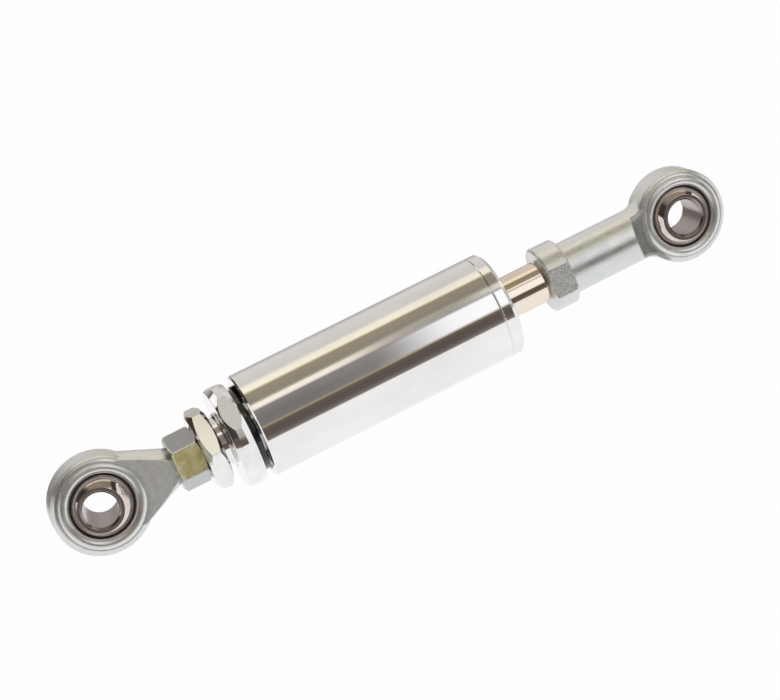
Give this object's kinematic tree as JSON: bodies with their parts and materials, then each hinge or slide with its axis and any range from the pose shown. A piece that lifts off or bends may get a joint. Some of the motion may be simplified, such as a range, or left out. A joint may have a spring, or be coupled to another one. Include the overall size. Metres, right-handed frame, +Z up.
{
  "type": "engine damper",
  "caption": "Short engine damper: polished cylinder with screwed preload adjuster, sprung chrome rod and a spherical rod-end eye at each end.",
  "frame": {"origin": "centre of the ball in the body-side eye", "axes": "+X along the damper from the body-side eye to the rod-side eye, Y along the rod-side eye's bolt, +Z up"},
  "size_m": [0.2071, 0.0304, 0.03],
  "materials": {
    "zinc_steel": "zinc-plated forging, satin, with machined flats",
    "chrome_ball": "polished hardened bearing steel",
    "race_steel": "zinc-plated turned steel",
    "liner_ptfe": "dark woven bearing liner",
    "nut_zinc": "zinc plated, pale yellow passivated",
    "polished_aluminium": "mirror-polished",
    "machined_aluminium": "turned and lightly polished",
    "black_oxide": "black anodised or black oxide, glossy",
    "spring_steel": "oiled spring wire",
    "rubber_black": "matt black rubber",
    "hard_chrome": "ground hard chrome",
    "bronze": "sintered bronze",
    "wear_ring": "filled bearing plastic"
  },
  "bodies": {
    "cylinder": {"cylinder_tube": "polished_aluminium", "end_plug": "black_oxide", "plug_o_ring": "rubber_black", "end_cap": "polished_aluminium", "cap_o_ring": "rubber_black", "rod_guide_bush": "bronze", "rod_seal": "rubber_black", "rod_wiper": "rubber_black", "wiper_retainer": "black_oxide", "bump_stop": "rubber_black", "main_spring": "spring_steel", "rebound_spring": "spring_steel"},
    "preload_slider": {"preload_seat": "machined_aluminium"},
    "adjuster": {"adjuster_spindle": "polished_aluminium", "jam_nut": "nut_zinc", "body_rod_end": "zinc_steel", "body_eye_race": "race_steel"},
    "body_liner": {"body_eye_liner": "liner_ptfe"},
    "body_ball": {"body_eye_ball": "chrome_ball"},
    "lock_washer": {"spring_lock_washer": "black_oxide"},
    "lock_nut": {"lock_nut": "polished_aluminium"},
    "thrust_washer": {"spring_thrust_washer": "race_steel"},
    "rod": {"damper_rod": "hard_chrome", "piston": "machined_aluminium", "piston_wear_ring": "wear_ring", "piston_nut": "nut_zinc", "rod_rod_end": "zinc_steel", "rod_eye_race": "race_steel"},
    "rod_liner": {"rod_eye_liner": "liner_ptfe"},
    "rod_ball": {"rod_eye_ball": "chrome_ball"}
  },
  "joints": [
    {"name": "preload_travel", "type": "slide", "parent": "cylinder", "child": "preload_slider", "axis": [1, 0, 0], "range_m": [-0.00075, 0.0015], "deforming": ["main_spring"]},
    {"name": "spindle_turn", "type": "hinge", "parent": "preload_slider", "child": "adjuster", "pos_m": [0.035, 0, 0], "axis": [1, 0, 0], "range_deg": [-190, 380]},
    {"name": "body_eye_spin", "type": "hinge", "parent": "adjuster", "child": "body_liner", "pos_m": [0, 0, 0], "axis": [0, 1, 0], "continuous": true},
    {"name": "body_eye_tilt", "type": "hinge", "parent": "body_liner", "child": "body_ball", "pos_m": [0, 0, 0], "axis": [0, 0, 1], "range_deg": [-4, 22]},
    {"name": "lock_washer_relax", "type": "slide", "parent": "cylinder", "child": "lock_washer", "axis": [1, 0, 0], "range_m": [-0.00085, 0]},
    {"name": "lock_nut_turn", "type": "hinge", "parent": "lock_washer", "child": "lock_nut", "pos_m": [0.0405, 0, 0], "axis": [1, 0, 0], "range_deg": [-217, 4]},
    {"name": "rod_travel", "type": "slide", "parent": "cylinder", "child": "thrust_washer", "axis": [1, 0, 0], "range_m": [-0.01, 0.005], "stiffness_N_per_m": 14000, "deforming": ["main_spring", "rebound_spring"]},
    {"name": "rod_turn", "type": "hinge", "parent": "thrust_washer", "child": "rod", "pos_m": [0.13, 0, 0], "axis": [1, 0, 0], "continuous": true},
    {"name": "rod_eye_spin", "type": "hinge", "parent": "rod", "child": "rod_liner", "pos_m": [0.18, 0, 0], "axis": [0, 1, 0], "continuous": true},
    {"name": "rod_eye_tilt", "type": "hinge", "parent": "rod_liner", "child": "rod_ball", "pos_m": [0.18, 0, 0], "axis": [0, 0, 1], "range_deg": [-12, 12]}
  ],
  "couplings": [
    {"joint": "spindle_turn", "follows": "preload_travel", "rad_per_m": 4188.8},
    {"joint": "lock_nut_turn", "follows": "lock_washer_relax", "rad_per_m": 4188.8}
  ]
}
